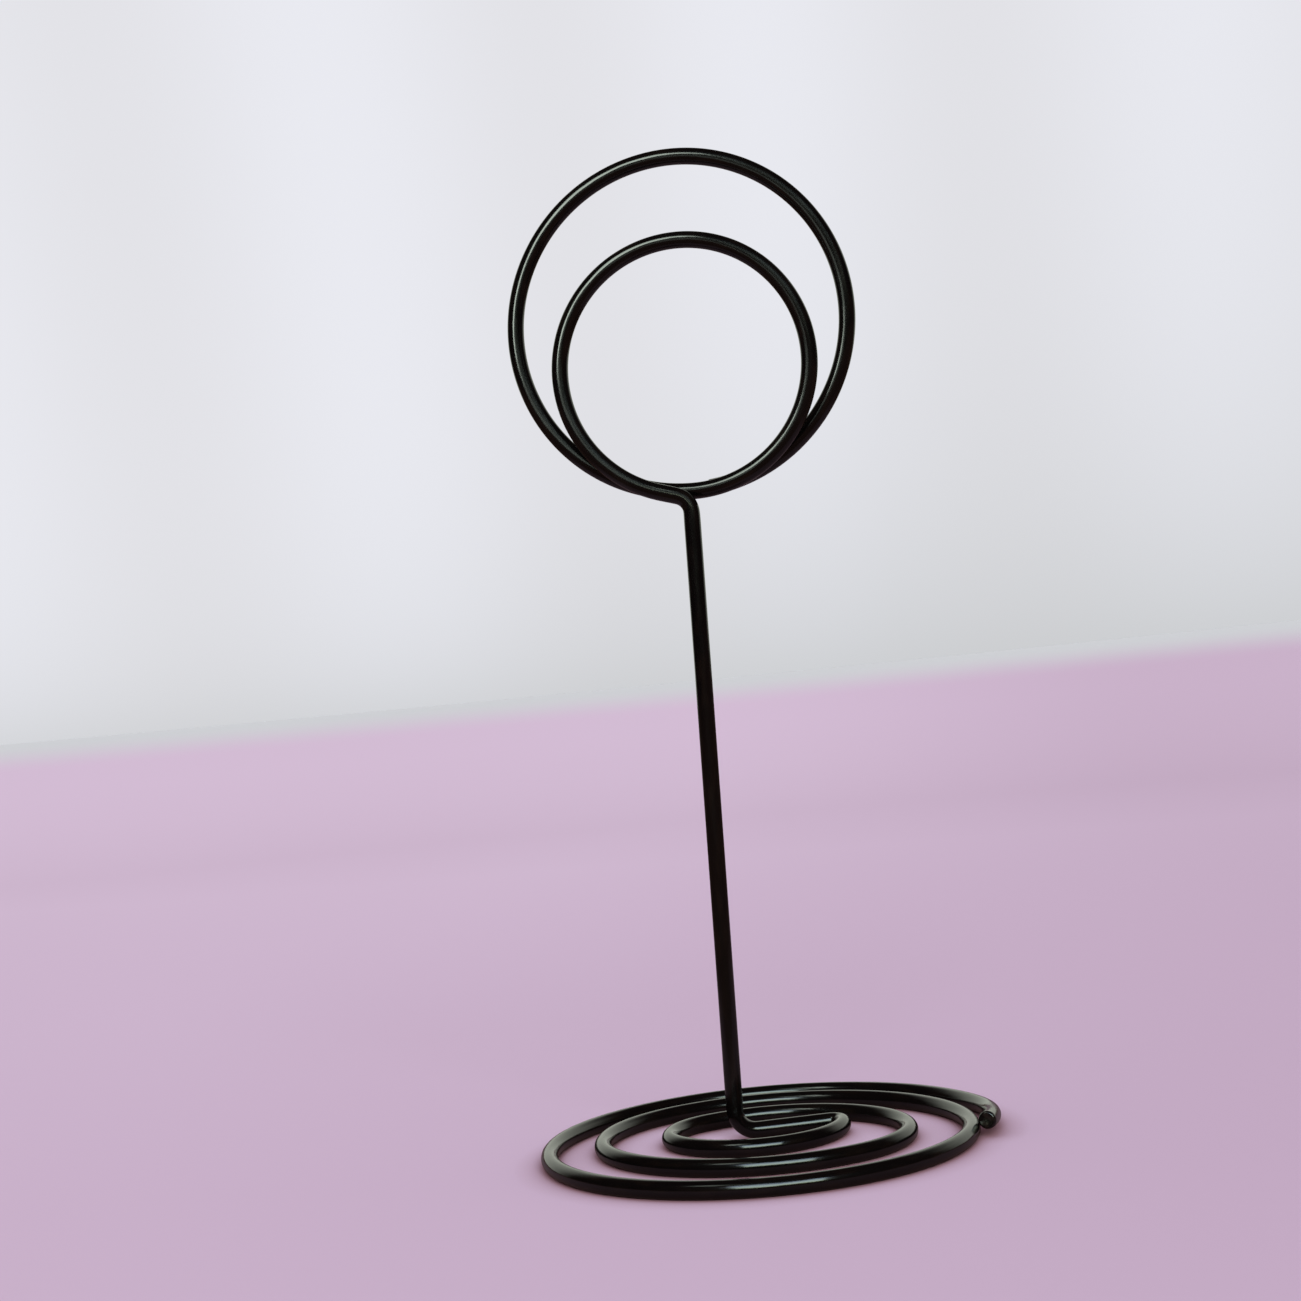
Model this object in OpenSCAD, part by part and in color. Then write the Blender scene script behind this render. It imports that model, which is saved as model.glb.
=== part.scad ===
// Memo clip holder: one length of round wire, bent cold. A flat coil stands on the table, a
// straight stem rises from the middle of it, and two rings side by side grip a card at the top.
// Z is up, the rings face -Y, and the origin is on the table under the middle of the coil.

/* [Wire] */
// Diameter of the wire over its paint
wire_d = 1.45; // [1.2:0.05:1.7]
// Bevel left round each cut end of the wire
end_bevel = 0.15; // [0.05:0.05:0.3]

/* [Stem] */
// Length of the straight stem between its two bends
stem_len = 50.65; // [30:0.05:90]
// Lean of the stem towards the coil's starting stretch, degrees
stem_lean = 1.1; // [0:0.1:4]
// Bend radius at the foot of the stem, on the wire's axis
foot_r = 1.8; // [1.2:0.05:2.2]
// Bend radius at the head of the stem, on the wire's axis
head_r = 1.55; // [1.2:0.05:2.2]
// Angle that the wire turns at the head of the stem, degrees
head_turn = 73.5; // [66:0.5:78]

/* [Card rings] */
// Straight stretch between the head of the stem and the inner ring
ring_lead_len = 1.5; // [0.5:0.1:3]
// Radius of the rising side of the inner ring, on the wire's axis
inner_rise_r = 11.25; // [11:0.05:11.8]
// Radius of the rest of the inner ring, on the wire's axis
inner_r = 10.75; // [10.4:0.05:11.2]
// Radius of the rising side of the outer ring, on the wire's axis
outer_rise_r = 14.7; // [14:0.05:15.5]
// Radius of the rest of the outer ring, on the wire's axis
outer_r = 14.45; // [13.8:0.05:15]
// Gap between the two rings, where the card is held
card_gap = 0.2; // [0.1:0.05:0.8]
// Angle that the outer ring still turns past its right side, degrees
outer_tip_turn = 85; // [60:1:92]

/* [Foot coil] */
// Direction in which the coil leaves the stem, degrees from the plane of the rings
core_dir = 17.8; // [10:0.1:30]
// Straight stretch from the stem to the middle bend of the coil
core_len = 6.1; // [5:0.05:7]
// Radius of the middle bend, on the wire's axis
core_r = 1; // [0.95:0.05:1.3]
// Angle of the middle bend, degrees
core_turn = 103.5; // [98:0.5:110]
// Angle of the first front side of the coil, degrees
first_turn = 144.5; // [140:0.5:150]
// Radius of the first front side of the coil, on the wire's axis like all that follow
side_1 = 7.4; // [7.1:0.05:7.7]
// Radius of the first left end
end_1 = 5.9; // [5.6:0.05:6.3]
// Radius of the first back side
side_2 = 11.3; // [10.9:0.05:11.6]
// Radius of the first right end
end_2 = 9.4; // [9.2:0.05:9.8]
// Radius of the second front side
side_3 = 13.85; // [13.4:0.05:14.2]
// Radius of the second left end
end_3 = 12.6; // [12.4:0.05:13]
// Radius of the second back side
side_4 = 15.9; // [15.6:0.05:16.1]
// Radius of the second right end
end_4 = 16.9; // [16.7:0.05:17.1]
// Radius of the third front side
side_5 = 17.3; // [17.1:0.05:17.5]
// Radius of the third left end
end_5 = 19.15; // [19:0.05:19.5]
// Radius of the third back side
side_6 = 18.25; // [18.15:0.05:18.6]
// Radius of the last right end, which leans on the turn inside it
end_6 = 17.05; // [17:0.05:17.4]
// Angle of the last right end, up to the cut end of the wire, degrees
tip_turn = 52; // [46:1:56]
// Height by which the cut end rides up on the turn inside it
tip_rise = 0.7; // [0.65:0.05:1]

/* [Hidden] */

wire_r = wire_d / 2;
// A band that stands a few thousandths proud of the wire, where one stretch runs into the next
seam_rise = 0.006;
seam_len = 0.05;
wire_fn = 48;
bend_fn = 144;

// The outer ring runs behind the inner one, so each ring steps back by one wire and one gap
// while it comes down its right side, in a half turn whose plane is rolled by this much.
ring_step = wire_d + card_gap;
inner_roll = asin(ring_step / (2 * inner_r));
outer_roll = asin(ring_step / (2 * outer_r));

// The last right end climbs in a plane rolled by this much
tip_roll = asin(tip_rise / (end_6 * (1 - cos(tip_turn))));

// A bend table row is [roll of the bend's plane, radius, angle]. A row with no radius is a
// straight stretch, and its last number is its length.
stem_rows = [
    [0, foot_r, 90 + stem_lean],
    [180 - core_dir, 0, stem_len],
    [0, head_r, head_turn],
    [0, 0, ring_lead_len],
];
ring_rows = [
    [180, inner_rise_r, head_turn - stem_lean],
    [0, inner_r, 90],
    [inner_roll, inner_r, 180],
    [inner_roll, outer_rise_r, 90],
    [0, outer_r, 90],
    [outer_roll, outer_r, 90 + outer_tip_turn],
];
coil_radii = [side_1, end_1, side_2, end_2, side_3, end_3, side_4, end_4, side_5, end_5,
    side_6, end_6];
last = len(coil_radii) - 1;
coil_rows = concat([[0, 0, core_len], [0, core_r, core_turn]],
    [for (i = [0:last - 1]) [0, coil_radii[i], i == 0 ? first_turn : 90]],
    [[-tip_roll, end_6, tip_turn]]);

// Direction of the wire where side or end i of the coil begins, and the middle of its arc
function heading(i) = core_dir - core_turn - (i == 0 ? 0 : first_turn + 90 * (i - 1));
function side_way(a) = [-sin(a), cos(a)];
function arc_middle(i) = i == 0
    ? core_len * [cos(core_dir), sin(core_dir)] - core_r * side_way(core_dir)
        + (core_r - side_1) * side_way(heading(0))
    : arc_middle(i - 1) + (coil_radii[i - 1] - coil_radii[i]) * side_way(heading(i));

// The outermost left, right, front and back of the coil are on its last four arcs
coil_left = arc_middle(last - 2)[0] - end_5;
coil_right = arc_middle(last)[0] + end_6;
coil_front = arc_middle(last - 3)[1] - side_5;
coil_back = arc_middle(last - 1)[1] + side_6;

// One bend: the wire starts at the origin, runs along +Y and turns towards +X
module bend(radius, turn) {
    translate([radius, 0, 0])
        rotate([0, 0, 180 - turn])
            rotate_extrude(angle = turn, $fn = bend_fn)
                translate([radius, 0])
                    circle(d = wire_d, $fn = wire_fn);
}

// Moves what follows to the far end of a bend
module past_bend(radius, turn) {
    translate([radius, 0, 0])
        rotate([0, 0, -turn])
            translate([-radius, 0, 0])
                children();
}

module straight(length) {
    rotate([-90, 0, 0])
        cylinder(h = length, d = wire_d, $fn = wire_fn);
}

// The sheared end of the wire, its edge bevelled
module cut_end() {
    rotate([-90, 0, 0])
        cylinder(h = end_bevel, d1 = wire_d, d2 = wire_d - 2 * end_bevel, $fn = wire_fn);
}

// Joins two stretches into one solid
module seam() {
    rotate([90, 0, 0])
        cylinder(h = seam_len, r = wire_r + seam_rise, center = true, $fn = wire_fn);
}

// Draws the rows one after the other, and the children at the far end
module wire_run(rows, i = 0) {
    seam();
    if (i == len(rows))
        children();
    else
        rotate([0, rows[i][0], 0])
            if (rows[i][1] == 0) {
                straight(rows[i][2]);
                translate([0, rows[i][2], 0]) wire_run(rows, i + 1) children();
            } else {
                bend(rows[i][1], rows[i][2]);
                past_bend(rows[i][1], rows[i][2]) wire_run(rows, i + 1) children();
            }
}

// Flat coil, from the stem outwards
module foot_coil() {
    rotate([0, 0, core_dir - 90])
        wire_run(coil_rows) cut_end();
}

// Stem and both rings, from the coil upwards
module stem_and_rings() {
    rotate([0, 0, core_dir + 90])
        rotate([0, -90, 0])
            wire_run(concat(stem_rows, ring_rows)) cut_end();
}

module bent_wire() {
    color([0.05, 0.05, 0.055])
        translate([-(coil_left + coil_right) / 2, -(coil_front + coil_back) / 2,
            wire_r + seam_rise]) {
            foot_coil();
            stem_and_rings();
        }
}

bent_wire();
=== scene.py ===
# Memo clip holder: one black wire with a flat coil for a foot, a stem, and two rings that hold a card
import math
import bpy
import numpy as np
from mathutils import Matrix, Vector


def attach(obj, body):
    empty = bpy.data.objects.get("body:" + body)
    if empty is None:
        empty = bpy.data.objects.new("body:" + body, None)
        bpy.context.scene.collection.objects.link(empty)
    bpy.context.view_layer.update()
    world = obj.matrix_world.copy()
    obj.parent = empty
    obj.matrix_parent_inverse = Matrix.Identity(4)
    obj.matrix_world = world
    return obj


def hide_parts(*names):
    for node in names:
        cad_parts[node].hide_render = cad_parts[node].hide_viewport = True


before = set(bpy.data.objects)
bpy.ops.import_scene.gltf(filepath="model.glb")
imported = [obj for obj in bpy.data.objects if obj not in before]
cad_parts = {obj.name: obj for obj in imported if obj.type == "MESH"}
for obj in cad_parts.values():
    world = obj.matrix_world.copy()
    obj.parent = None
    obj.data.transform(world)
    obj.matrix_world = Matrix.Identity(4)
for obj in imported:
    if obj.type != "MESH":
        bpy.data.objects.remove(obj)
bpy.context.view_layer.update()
scene = bpy.context.scene
mm = 0.001


def hexColour(text):  # sRGB hex to linear
    parts = [int(text[i:i + 2], 16) / 255 for i in (1, 3, 5)]
    return [p / 12.92 if p <= 0.04045 else ((p + 0.055) / 1.055) ** 2.4 for p in parts] + [1.0]


def addNode(tree, kind, inputs=None, **settings):  # a node with its settings, values and links
    node = tree.nodes.new(kind)
    for key, value in settings.items():
        setattr(node, key, value)
    for socket, value in (inputs or {}).items():
        if isinstance(value, bpy.types.NodeSocket):
            tree.links.new(value, node.inputs[socket])
        else:
            node.inputs[socket].default_value = value
    return node


def newMaterial(name):
    material = bpy.data.materials.new(name)
    material.use_nodes = True
    material.node_tree.nodes.clear()
    return material, material.node_tree


# The wire: the same run of bends as the solid part, drawn finer
wire = {
    "diameter": 1.45,
    "stemLength": 50.65, "stemLean": 1.1, "footRadius": 1.8, "headRadius": 1.55, "headTurn": 73.5,
    "ringLead": 1.5, "innerRise": 11.25, "innerRing": 10.75, "outerRise": 14.7, "outerRing": 14.45,
    "cardGap": 0.2, "outerTipTurn": 85,
    "coreDirection": 17.8, "coreLength": 6.1, "coreRadius": 1.0, "coreTurn": 103.5,
    "firstTurn": 144.5,
    "coilRadii": [7.4, 5.9, 11.3, 9.4, 13.85, 12.6, 15.9, 16.9, 17.3, 19.15, 18.25, 17.05],
    "tipTurn": 52, "tipRise": 0.7,  # the cut end rides up on the turn inside it
    "footStart": (-1.3190, 2.2965, 0.731),  # where the coil and the stem part
    "step": 0.16,  # along the wire, between rings of points
    "sides": 40,  # points round the wire
    "easing": 0.25,  # the wire eases in and out of a bend over about this length
    "skinGap": 0.003,  # keeps the drawn skin just inside the solid one
    "endBevel": 0.15,  # the sheared end's worn edge
    "bendFlattening": 0.05,  # how far the section goes oval in the tightest bends
}


def turned(angle, axis):
    return Matrix.Rotation(math.radians(angle), 4, axis)


def runPoints(rows, place):  # each row: roll of the bend's plane, radius, angle; or roll, 0, length
    points = []
    for roll, radius, amount in rows:
        place = place @ turned(roll, "Y")
        length = radius * math.radians(amount) if radius else amount
        for s in np.linspace(0, 1, max(3, round(length / 0.04)), endpoint=False):
            angle = math.radians(amount) * s
            here = (radius - radius * math.cos(angle), radius * math.sin(angle), 0) if radius \
                else (0, amount * s, 0)
            points.append(place @ Vector(here))
        if radius:
            place = place @ Matrix.Translation((radius, 0, 0)) @ turned(-amount, "Z") \
                @ Matrix.Translation((-radius, 0, 0))
        else:
            place = place @ Matrix.Translation((0, amount, 0))
    return points + [place.translation]


def wirePath(w):
    ringStep = w["diameter"] + w["cardGap"]
    innerRoll = math.degrees(math.asin(ringStep / 2 / w["innerRing"]))
    outerRoll = math.degrees(math.asin(ringStep / 2 / w["outerRing"]))
    upper = [
        (0, w["footRadius"], 90 + w["stemLean"]), (180 - w["coreDirection"], 0, w["stemLength"]),
        (0, w["headRadius"], w["headTurn"]), (0, 0, w["ringLead"]),
        (180, w["innerRise"], w["headTurn"] - w["stemLean"]), (0, w["innerRing"], 90),
        (innerRoll, w["innerRing"], 180), (innerRoll, w["outerRise"], 90),
        (0, w["outerRing"], 90), (outerRoll, w["outerRing"], 90 + w["outerTipTurn"]),
    ]
    radii = w["coilRadii"]
    turns = [w["firstTurn"]] + [90] * (len(radii) - 2)
    tipReach = radii[-1] * (1 - math.cos(math.radians(w["tipTurn"])))
    tipRoll = math.degrees(math.asin(w["tipRise"] / tipReach))
    coil = [(0, 0, w["coreLength"]), (0, w["coreRadius"], w["coreTurn"])] + \
        [(0, r, t) for r, t in zip(radii, turns)] + [(-tipRoll, radii[-1], w["tipTurn"])]
    foot = Matrix.Translation(w["footStart"])
    coilPoints = runPoints(coil, foot @ turned(w["coreDirection"] - 90, "Z"))
    upperPoints = runPoints(upper, foot @ turned(w["coreDirection"] + 90, "Z") @ turned(-90, "Y"))
    return np.array([list(p) for p in coilPoints[::-1] + upperPoints[1:]])


def evenly(points, step):  # the same line with its points a step apart, and how far along each one is
    lengths = np.r_[0, np.cumsum(np.linalg.norm(np.diff(points, axis=0), axis=1))]
    at = np.linspace(0, lengths[-1], round(lengths[-1] / step) + 1)
    return np.column_stack([np.interp(at, lengths, points[:, k]) for k in range(3)]), at


def eased(values, width):  # a running average, weighted to the middle, that keeps the two ends
    half = max(1, round(3 * width))
    weights = np.exp(-0.5 * (np.arange(-half, half + 1) / width) ** 2)
    weights /= weights.sum()
    front = 2 * values[0] - values[half:0:-1]
    back = 2 * values[-1] - values[-2:-half - 2:-1]
    padded = np.concatenate([front, values, back])
    return np.stack([np.convolve(padded[:, k], weights, "valid") for k in range(values.shape[1])], 1)


def buildWire(w):
    fineStep = w["step"] / 4
    fine = eased(evenly(wirePath(w), fineStep)[0], w["easing"] / fineStep)
    path, at = evenly(fine, w["step"])
    tangent = np.gradient(path, axis=0)
    tangent /= np.linalg.norm(tangent, axis=1, keepdims=True)
    bend = np.gradient(tangent, at, axis=0)  # curvature, towards the inside of the bend
    # carry a side direction along the wire without twisting it
    side = np.zeros_like(path)
    side[0] = np.cross(tangent[0], (0, 0, 1))
    for i in range(1, len(path)):
        side[i] = side[i - 1] - tangent[i] * (side[i - 1] @ tangent[i])
        side[i] /= np.linalg.norm(side[i])
    other = np.cross(tangent, side)
    angles = np.arange(w["sides"]) * 2 * np.pi / w["sides"]
    r = w["diameter"] / 2 - w["skinGap"]
    rings = []
    total = at[-1]
    flat = w["bendFlattening"] * eased(np.linalg.norm(bend, axis=1)[:, None], 3)[:, 0]
    bendAngle = np.arctan2((bend * other).sum(1), (bend * side).sum(1))
    for i, here in enumerate(path):
        squash = 1 - flat[i] * np.cos(angles - bendAngle[i]) ** 2
        outward = np.cos(angles)[:, None] * side[i] + np.sin(angles)[:, None] * other[i]
        rings.append(here + r * squash[:, None] * outward)
    # the sheared ends: the outermost rings draw in to a bevel
    bevel = w["endBevel"]
    ends = []
    for index, way in ((0, -1), (len(path) - 1, 1)):
        middle = path[index]
        caps = []
        for draw, out in ((0.35, 0.55), (0.7, 0.85), (1.0, 1.0)):
            scale = (r - bevel * draw) / r
            shrunk = (rings[index] - middle) * scale
            caps.append(middle + shrunk + way * out * bevel * tangent[index])
        ends.append(caps)
    rings = ends[0][::-1] + rings + ends[1]
    past = bevel * np.array([0.55, 0.85, 1.0])
    at = np.concatenate([-past[::-1], at, total + past])
    points = np.concatenate(rings)
    n, count = w["sides"], len(rings)
    faces = []
    for i in range(count - 1):
        a, b = i * n, (i + 1) * n
        for j in range(n):
            k = (j + 1) % n
            faces.append((a + j, a + k, b + k, b + j))
    faces.append(tuple(range(n))[::-1])
    faces.append(tuple((count - 1) * n + j for j in range(n)))
    mesh = bpy.data.meshes.new("wire")
    mesh.from_pydata([tuple(p * mm) for p in points], [], faces)
    along = mesh.attributes.new("along", "FLOAT", "POINT")
    along.data.foreach_set("value", np.repeat(at, n))
    around = mesh.attributes.new("around", "FLOAT_VECTOR", "POINT")
    circle = np.column_stack([np.cos(angles), np.sin(angles), 0 * angles])
    around.data.foreach_set("vector", np.tile(circle, (count, 1)).ravel())
    mesh.polygons.foreach_set("use_smooth", [True] * len(mesh.polygons))
    mesh.polygons[-1].use_smooth = mesh.polygons[-2].use_smooth = False
    mesh.validate()
    body = bpy.data.objects.new("wire", mesh)
    scene.collection.objects.link(body)
    return body, total


# Stoving enamel on drawn steel: dipped and baked, so it is glassy and nearly black, and its skin
# still rises and falls a little along the wire. The eye sees broken, wavy window light in it
enamel = {
    "colour": "#060404", "thinColour": "#0e0806",  # brownish where it ran thin
    "roughness": 0.12, "dullRoughness": 0.20, "ior": 1.5,
    "peelLength": 2.6, "peelWidth": 0.55, "peelDepth": 0.016,  # mm, the soft waves that dipping leaves
    "drawLength": 9.0, "drawLine": 0.16, "drawDepth": 0.0008,  # mm, the drawing die's scratches
    "hazeLength": 5.0, "hazeWidth": 1.2,  # mm, where handling has dulled it a little
    "bareSteel": "#191615", "rust": "#150b07",  # the sheared ends chip bare
    "bareReach": 0.16, "rustSpot": 0.5,  # mm
}


def enamelMaterial(e, total):
    material, tree = newMaterial("stovingEnamel")
    along = addNode(tree, "ShaderNodeAttribute", attribute_name="along")
    around = addNode(tree, "ShaderNodeAttribute", attribute_name="around")

    def stretched(length, width):  # noise that is length long on the wire and width wide round it
        across = addNode(tree, "ShaderNodeVectorMath", {0: around.outputs["Vector"],
                         "Scale": wire["diameter"] / 2 / width}, operation="SCALE")
        down = addNode(tree, "ShaderNodeMath", {0: along.outputs["Fac"], 1: 1 / length},
                       operation="MULTIPLY")
        lift = addNode(tree, "ShaderNodeCombineXYZ", {2: down.outputs[0]})
        return addNode(tree, "ShaderNodeVectorMath", {0: across.outputs[0], 1: lift.outputs[0]},
                       operation="ADD").outputs[0]

    peel = addNode(tree, "ShaderNodeTexNoise", {"Vector": stretched(e["peelLength"], e["peelWidth"]),
                   "Scale": 1.0, "Detail": 2.0, "Roughness": 0.45})
    lines = addNode(tree, "ShaderNodeTexNoise", {"Vector": stretched(e["drawLength"], e["drawLine"]),
                    "Scale": 1.0, "Detail": 1.0, "Roughness": 0.5})
    waves = addNode(tree, "ShaderNodeBump", {"Height": peel.outputs["Fac"], "Strength": 1.0,
                    "Distance": e["peelDepth"] * mm})
    bump = addNode(tree, "ShaderNodeBump", {"Height": lines.outputs["Fac"], "Strength": 1.0,
                   "Distance": e["drawDepth"] * mm, "Normal": waves.outputs["Normal"]})
    thin = addNode(tree, "ShaderNodeMapRange", {"Value": peel.outputs["Fac"], "From Min": 0.45,
                   "From Max": 0.75}, interpolation_type="SMOOTHSTEP")
    paint = addNode(tree, "ShaderNodeMix", {0: thin.outputs[0], 6: hexColour(e["colour"]),
                    7: hexColour(e["thinColour"])}, data_type="RGBA")
    haze = addNode(tree, "ShaderNodeTexNoise", {"Vector": stretched(e["hazeLength"], e["hazeWidth"]),
                   "Scale": 1.0, "Detail": 3.0, "Roughness": 0.6})
    dull = addNode(tree, "ShaderNodeMapRange", {"Value": haze.outputs["Fac"], "From Min": 0.4,
                   "From Max": 0.8, "To Min": e["roughness"], "To Max": e["dullRoughness"]})
    # the sheared ends: bare steel with a little rust, on the last hair of the wire
    past = 0.12  # mm past the last full ring of points, on the bevel
    start = addNode(tree, "ShaderNodeMapRange", {"Value": along.outputs["Fac"], "From Min": -past,
                    "From Max": e["bareReach"] - past, "To Min": 1.0, "To Max": 0.0})
    stop = addNode(tree, "ShaderNodeMapRange", {"Value": along.outputs["Fac"],
                   "From Min": total + past - e["bareReach"], "From Max": total + past})
    ends = addNode(tree, "ShaderNodeMath", {0: start.outputs[0], 1: stop.outputs[0]},
                   operation="MAXIMUM")
    place = addNode(tree, "ShaderNodeTexCoord")
    spots = addNode(tree, "ShaderNodeTexNoise", {"Vector": place.outputs["Object"],
                    "Scale": 1 / (e["rustSpot"] * mm), "Detail": 3.0, "Roughness": 0.6})
    chipped = addNode(tree, "ShaderNodeMapRange", {"Value": spots.outputs["Fac"], "From Min": 0.48,
                      "From Max": 0.56}, interpolation_type="SMOOTHSTEP")
    bare = addNode(tree, "ShaderNodeMath", {0: ends.outputs[0], 1: chipped.outputs[0]},
                   operation="MULTIPLY")
    rusty = addNode(tree, "ShaderNodeMix", {0: spots.outputs["Fac"], 6: hexColour(e["bareSteel"]),
                    7: hexColour(e["rust"])}, data_type="RGBA")
    colour = addNode(tree, "ShaderNodeMix", {0: bare.outputs[0], 6: paint.outputs[2],
                     7: rusty.outputs[2]}, data_type="RGBA")
    shader = addNode(tree, "ShaderNodeBsdfPrincipled", {
        "Base Color": colour.outputs[2], "Roughness": dull.outputs[0], "IOR": e["ior"],
        "Normal": bump.outputs["Normal"]})
    addNode(tree, "ShaderNodeOutputMaterial", {"Surface": shader.outputs["BSDF"]})
    return material


body, wireLength = buildWire(wire)
body.data.materials.append(enamelMaterial(enamel, wireLength))
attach(body, "root")
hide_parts("bent_wire")
print("wire:", round(wireLength, 1), "mm long,", len(body.data.vertices), "points")


# The table: matt lilac paint, so the eye sees even colour and no shine; painted light and painted shade
# are added to that colour below. Far behind it curves up
table = {
    "near": "#c9a7c0", "far": "#e6c7df", "edge": "#ddd7db",  # the edge is blurred into the wall
    "leftGlow": (-120, 110, 0.38),  # mm from, mm to, amount: painted light, paler to the left
    "farGlow": (-10, 360, 0.48),  # and painted light, paler further off
    "edgeFade": (0.95, 0.998),  # parts of the rim's radius
    "contactShade": "#a4747f", "contactShadeReach": 2.5,  # mm: painted shade, a warm brownish darkening of the table close around and under the wire
    "flatRadius": 600, "rimRadius": 900, "rimHeight": 60, "rimTilt": 0.10,
    "shaded": "#553b33",  # painted shade: past the lit sheet the enamel mirrors a table in shade
    "sheetLeft": -110, "sheetRight": 110, "sheetFront": -38, "sheetFade": (30, 14), "litSheetShare": 0.22,
}


def buildTable(t):
    rimWidth = t["rimRadius"] - t["flatRadius"]
    rows = [(r, 0.0) for r in (0, 60, 200, 400, t["flatRadius"])] + \
        [(t["flatRadius"] + rimWidth * part, t["rimHeight"] * part * part)
         for part in (0.25, 0.5, 0.75, 1.0)]
    sides = 96
    points, faces = [(0.0, 0.0, 0.0)], []
    for radius, height in rows[1:]:
        for j in range(sides):
            a = 2 * math.pi * j / sides
            rise = height * (1 + t["rimTilt"] * math.cos(a))
            points.append((radius * math.cos(a) * mm, radius * math.sin(a) * mm, rise * mm))
    for j in range(sides):
        faces.append((0, 1 + j, 1 + (j + 1) % sides))
    for i in range(len(rows) - 2):
        for j in range(sides):
            k = (j + 1) % sides
            a, b = 1 + i * sides, 1 + (i + 1) * sides
            faces.append((a + j, b + j, b + k, a + k))
    mesh = bpy.data.meshes.new("table")
    mesh.from_pydata(points, [], faces)
    mesh.polygons.foreach_set("use_smooth", [True] * len(mesh.polygons))
    top = bpy.data.objects.new("table", mesh)
    scene.collection.objects.link(top)
    material, tree = newMaterial("paintedTable")
    place = addNode(tree, "ShaderNodeTexCoord")
    parts = addNode(tree, "ShaderNodeSeparateXYZ", {0: place.outputs["Object"]})
    # painted light: paler to the left and further off, where more of the day reaches it
    start, stop, amount = t["leftGlow"]
    leftward = addNode(tree, "ShaderNodeMapRange", {"Value": parts.outputs["X"], "From Min": start * mm,
                       "From Max": stop * mm, "To Min": amount, "To Max": 0.0},
                       interpolation_type="SMOOTHSTEP")
    start, stop, amount = t["farGlow"]
    further = addNode(tree, "ShaderNodeMapRange", {"Value": parts.outputs["Y"], "From Min": start * mm,
                      "From Max": stop * mm, "To Max": amount})
    glow = addNode(tree, "ShaderNodeMath", {0: leftward.outputs[0], 1: further.outputs[0]},
                   operation="ADD")
    away = addNode(tree, "ShaderNodeVectorMath", {0: place.outputs["Object"]}, operation="LENGTH")
    edge = addNode(tree, "ShaderNodeMapRange", {"Value": away.outputs["Value"],
                   "From Min": t["edgeFade"][0] * t["rimRadius"] * mm,
                   "From Max": t["edgeFade"][1] * t["rimRadius"] * mm},
                   interpolation_type="SMOOTHSTEP")
    lilac = addNode(tree, "ShaderNodeMix", {0: glow.outputs[0], 6: hexColour(t["near"]),
                    7: hexColour(t["far"])}, data_type="RGBA")
    # painted shade: the table turns warm brown where the wire hems it in, as a contact shadow
    contactShade = addNode(tree, "ShaderNodeAmbientOcclusion", {"Distance": t["contactShadeReach"] * mm}, samples=8)
    contactShadeAmount = addNode(tree, "ShaderNodeMapRange", {"Value": contactShade.outputs["AO"], "From Min": 0.35,
                     "From Max": 1.0, "To Min": 1.0, "To Max": 0.0})
    paint = addNode(tree, "ShaderNodeMix", {0: contactShadeAmount.outputs[0], 6: lilac.outputs[2],
                    7: hexColour(t["contactShade"])}, data_type="RGBA")
    faded = addNode(tree, "ShaderNodeMix", {0: edge.outputs[0], 6: paint.outputs[2],
                    7: hexColour(t["edge"])}, data_type="RGBA")
    # painted shade that only the enamel's reflections see: there the table takes its shaded colour, a
    # little less of it inside the lit sheet
    sideFade, frontFade = t["sheetFade"]
    inside = None
    for axis, middle, fade in (("X", t["sheetLeft"], sideFade), ("X", t["sheetRight"], -sideFade),
                               ("Y", t["sheetFront"], frontFade)):
        side = addNode(tree, "ShaderNodeMapRange", {"Value": parts.outputs[axis],
                       "From Min": (middle - fade) * mm, "From Max": (middle + fade) * mm},
                       interpolation_type="SMOOTHSTEP")
        inside = side if inside is None else addNode(tree, "ShaderNodeMath", {
            0: inside.outputs[0], 1: side.outputs[0]}, operation="MULTIPLY")
    rays = addNode(tree, "ShaderNodeLightPath")
    seen = addNode(tree, "ShaderNodeMath", {0: inside.outputs[0], 1: t["litSheetShare"]}, operation="MULTIPLY")
    outside = addNode(tree, "ShaderNodeMath", {0: 1.0, 1: seen.outputs[0]}, operation="SUBTRACT")
    shade = addNode(tree, "ShaderNodeMath", {0: outside.outputs[0], 1: rays.outputs["Is Glossy Ray"]},
                    operation="MULTIPLY")
    shaded = addNode(tree, "ShaderNodeMix", {0: shade.outputs[0], 6: faded.outputs[2],
                     7: hexColour(t["shaded"])}, data_type="RGBA")
    shader = addNode(tree, "ShaderNodeBsdfPrincipled", {
        "Base Color": shaded.outputs[2], "Roughness": 1.0, "Specular IOR Level": 0.0})
    addNode(tree, "ShaderNodeOutputMaterial", {"Surface": shader.outputs["BSDF"]})
    mesh.materials.append(material)


buildTable(table)
print("table:", 2 * table["rimRadius"], "mm across")

# The room: the camera sees a pale wall all round. The enamel sees that wall behind the holder, and a
# dim room at the sides, as the real one does
room = {
    "wall": "#e3e3e8", "fold": "#ebecf3", "foot": "#c6c8ca",
    "foldWidth": 0.2, "foldStart": 0.33,  # along X of the direction, whose length is 1
    "footFade": (-0.4, -0.04, 26, 10),  # the painted shade at the foot is low at the left and tall at the right
    "dim": "#241a18", "mirroredWall": "#e6ebdd", "wallEdge": (0.30, 0.75), "wallTop": (0.72, 0.42),
    "fill": 0.56,  # the even light on the holder from all round
}


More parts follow.
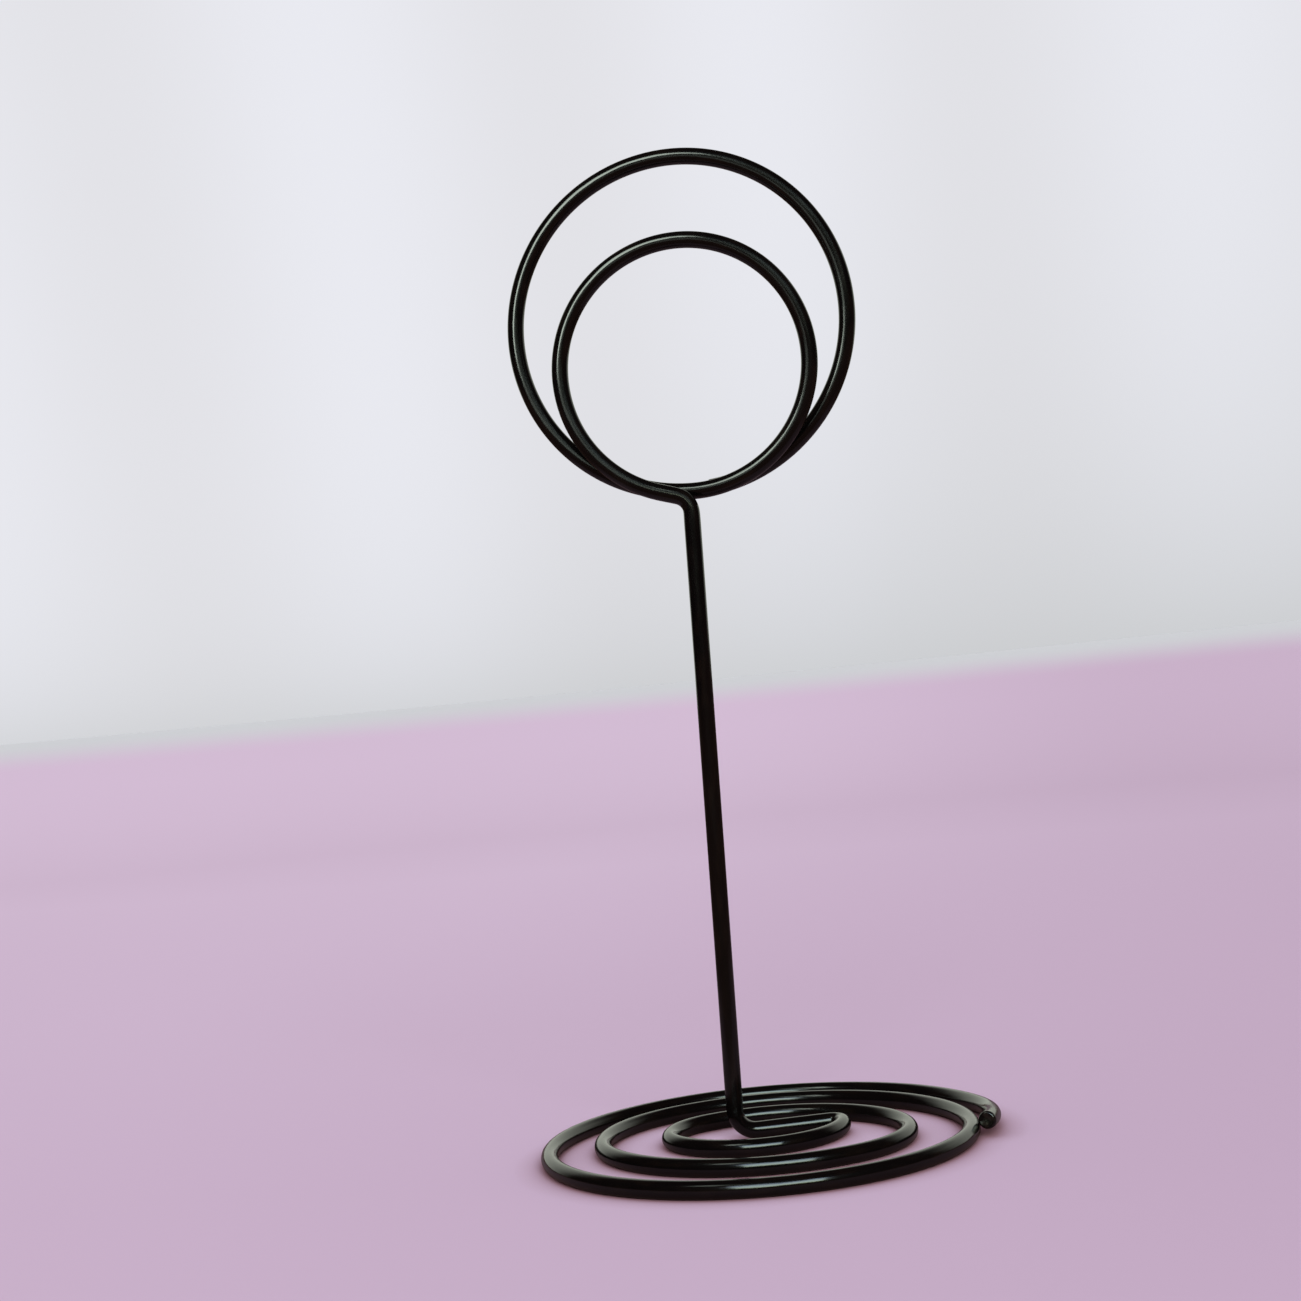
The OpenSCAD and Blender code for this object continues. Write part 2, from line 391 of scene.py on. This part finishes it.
def buildRoom(r):
    world = bpy.data.worlds.new("room")
    scene.world = world
    world.use_nodes = True
    tree = world.node_tree
    tree.nodes.clear()
    place = addNode(tree, "ShaderNodeTexCoord")
    parts = addNode(tree, "ShaderNodeSeparateXYZ", {0: place.outputs["Generated"]})
    # out of focus, the wall shows soft upright folds, painted as paler stripes of light, and painted
    # shade makes it darker towards its foot
    folds = addNode(tree, "ShaderNodeMath", {0: parts.outputs["X"], 1: r["foldStart"]}, operation="ADD")
    turns = addNode(tree, "ShaderNodeMath", {0: folds.outputs[0], 1: 2 * math.pi / r["foldWidth"]},
                    operation="MULTIPLY")
    swing = addNode(tree, "ShaderNodeMath", {0: turns.outputs[0]}, operation="SINE")
    pale = addNode(tree, "ShaderNodeMapRange", {"Value": swing.outputs[0], "From Min": -1.0,
                   "From Max": 1.0, "To Max": 0.8})
    left, right, leftRate, rightRate = r["footFade"]
    rate = addNode(tree, "ShaderNodeMapRange", {"Value": parts.outputs["X"], "From Min": left,
                   "From Max": right, "To Min": leftRate, "To Max": rightRate})
    rise = addNode(tree, "ShaderNodeMath", {0: parts.outputs["Z"], 1: rate.outputs[0]},
                   operation="MULTIPLY")
    foot = addNode(tree, "ShaderNodeMath", {0: 0.37, 1: rise.outputs[0]}, operation="POWER",
                   use_clamp=True)
    paint = addNode(tree, "ShaderNodeMix", {0: pale.outputs[0], 6: hexColour(r["wall"]),
                    7: hexColour(r["fold"])}, data_type="RGBA")
    wall = addNode(tree, "ShaderNodeMix", {0: foot.outputs[0], 6: paint.outputs[2],
                   7: hexColour(r["foot"])}, data_type="RGBA")
    behind = addNode(tree, "ShaderNodeMapRange", {"Value": parts.outputs["Y"],
                     "From Min": r["wallEdge"][0], "From Max": r["wallEdge"][1]},
                     interpolation_type="SMOOTHSTEP")
    low = addNode(tree, "ShaderNodeMapRange", {"Value": parts.outputs["Z"],
                  "From Min": r["wallTop"][0], "From Max": r["wallTop"][1]},
                  interpolation_type="SMOOTHSTEP")
    both = addNode(tree, "ShaderNodeMath", {0: behind.outputs[0], 1: low.outputs[0]},
                   operation="MULTIPLY")
    mirrored = addNode(tree, "ShaderNodeMix", {0: both.outputs[0], 6: hexColour(r["dim"]),
                       7: hexColour(r["mirroredWall"])}, data_type="RGBA")
    rays = addNode(tree, "ShaderNodeLightPath")
    fill = addNode(tree, "ShaderNodeBackground", {"Color": hexColour("#ffffff"), "Strength": r["fill"]})
    shine = addNode(tree, "ShaderNodeBackground", {"Color": mirrored.outputs[2], "Strength": 1.0})
    backdrop = addNode(tree, "ShaderNodeBackground", {"Color": wall.outputs[2], "Strength": 1.0})
    glossy = addNode(tree, "ShaderNodeMixShader", {0: rays.outputs["Is Glossy Ray"], 1: fill.outputs[0],
                     2: shine.outputs[0]})
    seen = addNode(tree, "ShaderNodeMixShader", {0: rays.outputs["Is Camera Ray"], 1: glossy.outputs[0],
                   2: backdrop.outputs[0]})
    addNode(tree, "ShaderNodeOutputWorld", {"Surface": seen.outputs[0]})


buildRoom(room)
print("room: pale wall with soft folds")


def fromFoot(bearing, height, distance):  # bearing from the front towards the right, in degrees
    turn, lift = math.radians(bearing), math.radians(height)
    flat = distance * math.cos(lift)
    return Vector((flat * math.sin(turn), -flat * math.cos(turn), distance * math.sin(lift)))


def softBox(name, place, target, width, height, power, colour):
    light = bpy.data.lights.new(name, "AREA")
    light.shape, light.size, light.size_y = "RECTANGLE", width * mm, height * mm
    light.energy, light.color = power, hexColour(colour)[:3]
    lamp = bpy.data.objects.new(name, light)
    lamp.location = Vector(place) * mm
    lamp.rotation_euler = (Vector(target) - Vector(place)).to_track_quat("-Z", "Y").to_euler()
    scene.collection.objects.link(lamp)
    return lamp


window = {
    "bearing": 14.5, "distance": 3000, "width": 2360,
    "panes": (  # name, height in degrees as seen from the foot, mm tall, power, colour
        ("windowTop", 43, 530, 20, "#cfe6ff"),
        ("windowMiddle", 29, 930, 58, "#e6fffa"),
        ("windowSill", 18, 210, 11, "#f0ffd0"),
    ),
}
for name, height, tall, power, colour in window["panes"]:
    place = fromFoot(window["bearing"], height, window["distance"])
    softBox(name, place, (0, 0, 0), window["width"], tall, power, colour)

# A pale reflector beside the lens, aimed at the rings, that only gives them their shine
reflector = {
    "width": 43, "colour": "#f0fff0", "spread": 100, "drop": 20,  # aimed this many mm below itself
    "halves": (("reflectorHigh", (-23, -60, 105), 50, 0.023),  # name, middle, mm tall, power
               ("reflectorLow", (-23, -60, 76), 18, 0.0008)),
}
for name, place, tall, power in reflector["halves"]:
    aim = (0, 0, place[2] - reflector["drop"])
    lamp = softBox(name, place, aim, reflector["width"], tall, power, reflector["colour"])
    lamp.data.spread = math.radians(reflector["spread"])
    lamp.visible_diffuse = False

# A dark card above the lens, that only gloss shows: painted shade in the enamel's reflections, which
# keeps the window out of the rings
reflectionShadeCard = {"colour": "#1a1210", "roughness": 0.9, "left": -70, "right": 120, "front": -64,
             "bottom": 73, "top": 220}


def hangShadeCard(c):
    corners = [(c["left"], c["bottom"]), (c["right"], c["bottom"]), (c["right"], c["top"]),
               (c["left"], c["top"])]
    mesh = bpy.data.meshes.new("reflectionShadeCard")
    mesh.from_pydata([(x * mm, c["front"] * mm, z * mm) for x, z in corners], [], [(0, 1, 2, 3)])
    shadeCard = bpy.data.objects.new("reflectionShadeCard", mesh)
    scene.collection.objects.link(shadeCard)
    shadeCard.visible_camera = shadeCard.visible_diffuse = False
    shadeCard.visible_shadow = shadeCard.visible_transmission = False
    material, tree = newMaterial("reflectionShadeCard")
    shader = addNode(tree, "ShaderNodeBsdfPrincipled", {
        "Base Color": hexColour(c["colour"]), "Roughness": c["roughness"]})
    addNode(tree, "ShaderNodeOutputMaterial", {"Surface": shader.outputs["BSDF"]})
    mesh.materials.append(material)


hangShadeCard(reflectionShadeCard)
print("light:", len(window["panes"]), "window panes and", len(reflector["halves"]), "reflectors")

# The photograph's view: close, level with the middle of the stem, leaning a little to the left
view = {
    "place": (21.566, -167.286, 34.985), "yaw": -9.486, "pitch": 2.276, "roll": 5.141, "lens": 55.70,
}


def placeCamera(v):
    yaw, pitch, roll = (math.radians(v[k]) for k in ("yaw", "pitch", "roll"))
    ahead = Vector((math.sin(yaw) * math.cos(pitch), math.cos(yaw) * math.cos(pitch), math.sin(pitch)))
    level = Vector((math.cos(yaw), -math.sin(yaw), 0))
    down = ahead.cross(level)
    right = math.cos(roll) * level + math.sin(roll) * down
    up = math.sin(roll) * level - math.cos(roll) * down
    lens = bpy.data.cameras.new("camera")
    lens.lens, lens.sensor_width = v["lens"], 36
    lens.clip_start, lens.clip_end = 0.01, 10
    camera = bpy.data.objects.new("camera", lens)
    turn = Matrix((right, up, -ahead)).transposed()
    camera.matrix_world = Matrix.Translation(Vector(v["place"]) * mm) @ turn.to_4x4()
    scene.collection.objects.link(camera)
    scene.camera = camera


placeCamera(view)
scene.view_settings.view_transform = "Standard"
